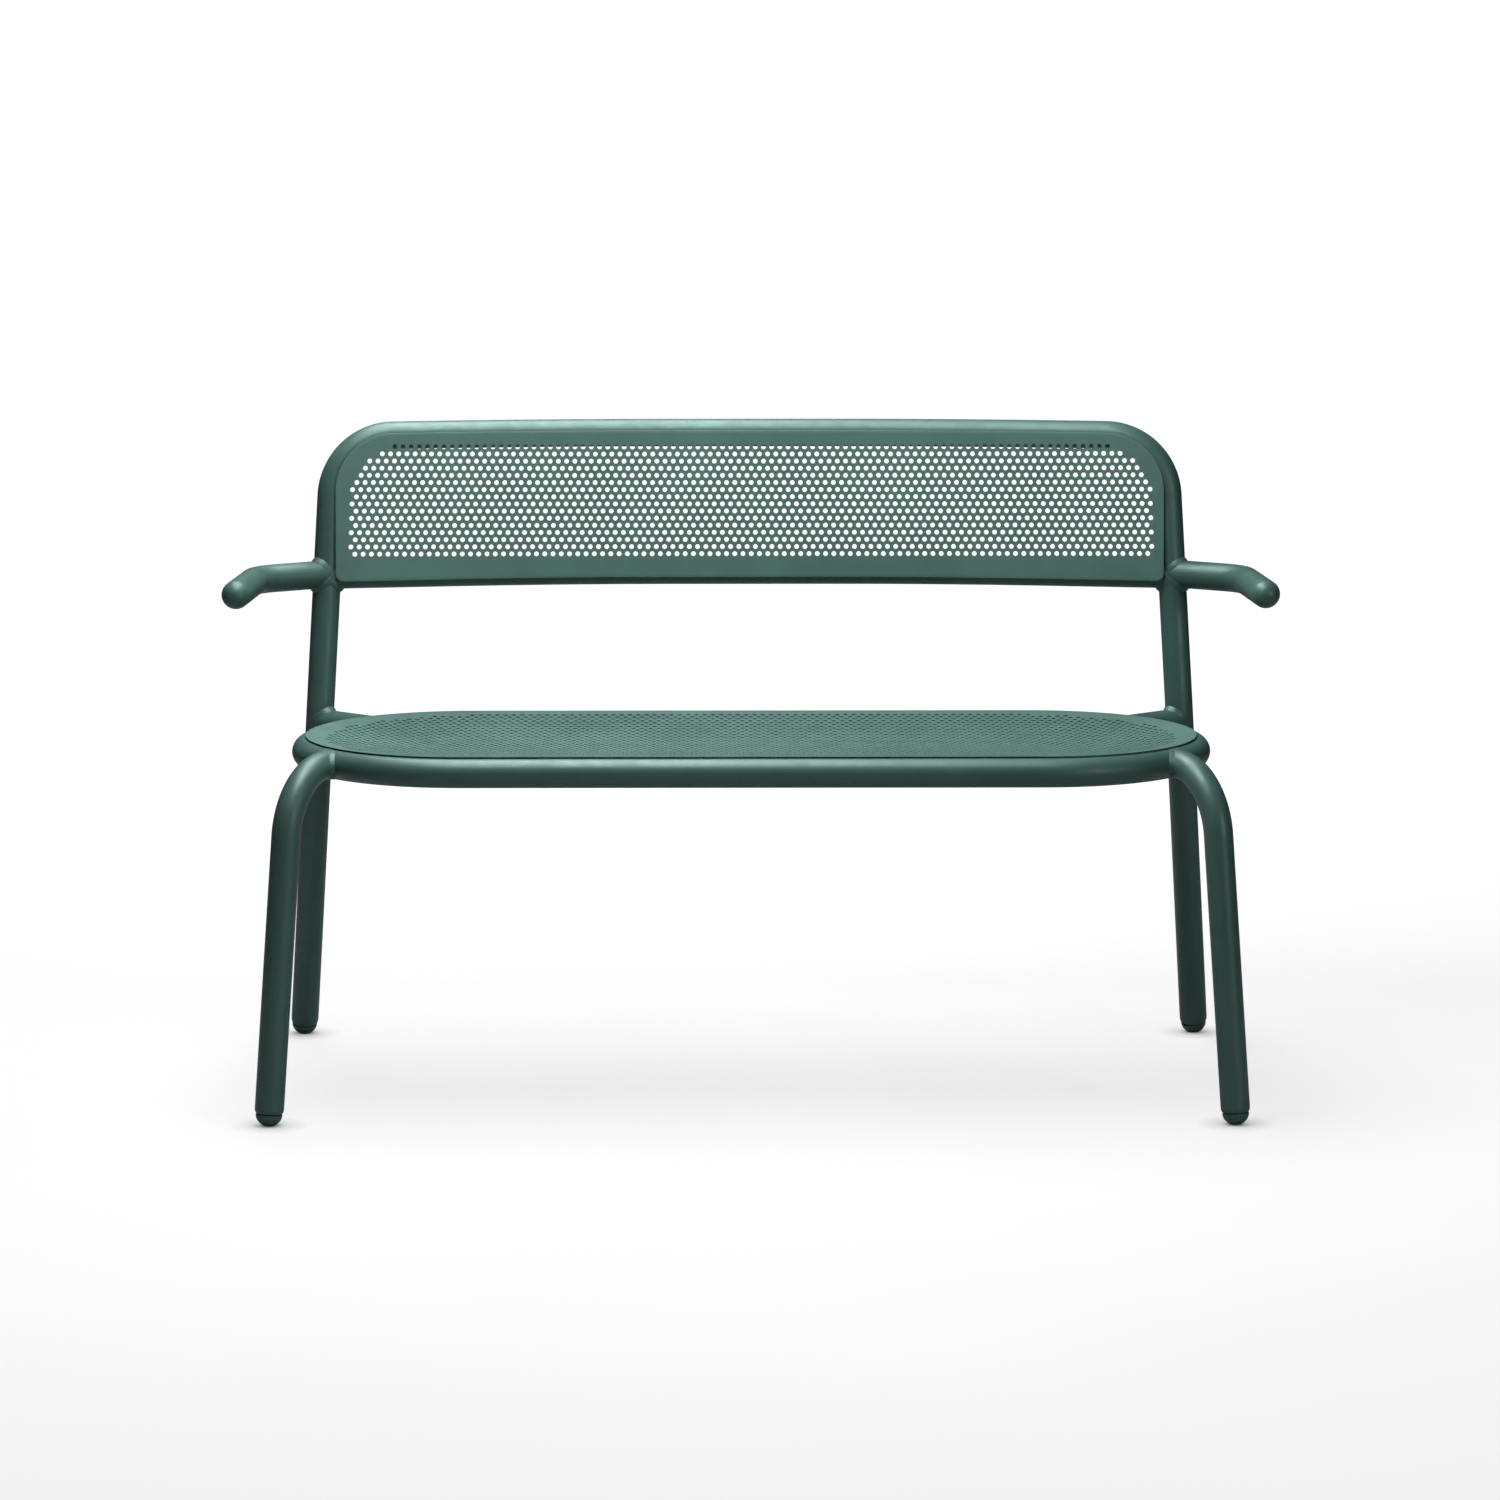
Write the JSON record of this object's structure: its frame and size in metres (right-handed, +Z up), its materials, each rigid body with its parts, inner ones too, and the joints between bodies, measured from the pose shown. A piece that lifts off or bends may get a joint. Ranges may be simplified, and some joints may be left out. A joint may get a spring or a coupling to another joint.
{
  "type": "garden bench",
  "caption": "Two-seat outdoor bench of bent, painted steel tube with a perforated dished seat, a perforated bowed backrest and short round-ended armrests.",
  "frame": {"origin": "on the floor, under the middle of the bench's overall width and depth", "axes": "+Z up; the sitter faces -Y, so the backrest is on the +Y side; +X to the right seen from the front, along the seat's length"},
  "size_m": [1.292, 0.5825, 0.7982],
  "materials": {
    "tube_paint": "satin powder coat",
    "panel_paint": "satin powder coat",
    "glide_plastic": "moulded, matt"
  },
  "bodies": {
    "root": {"back_frame_tube": "tube_paint", "back_lower_rail": "tube_paint", "back_panel": "panel_paint", "seat_ring_tube": "tube_paint", "seat_panel": "panel_paint", "seat_brace_left": "tube_paint", "seat_brace_right": "tube_paint", "front_leg_left": "tube_paint", "front_leg_right": "tube_paint", "seat_link_left": "tube_paint", "seat_link_right": "tube_paint", "armrest_left": "tube_paint", "armrest_right": "tube_paint", "armrest_cap_left": "tube_paint", "armrest_cap_right": "tube_paint", "foot_glide_front_left": "glide_plastic", "foot_glide_front_right": "glide_plastic", "foot_glide_rear_left": "glide_plastic", "foot_glide_rear_right": "glide_plastic", "weld_beads_armrests": "tube_paint", "weld_beads_front_legs": "tube_paint", "weld_beads_seat_links": "tube_paint", "weld_beads_lower_rail": "tube_paint", "weld_beads_seat_braces": "tube_paint"}
  },
  "joints": []
}
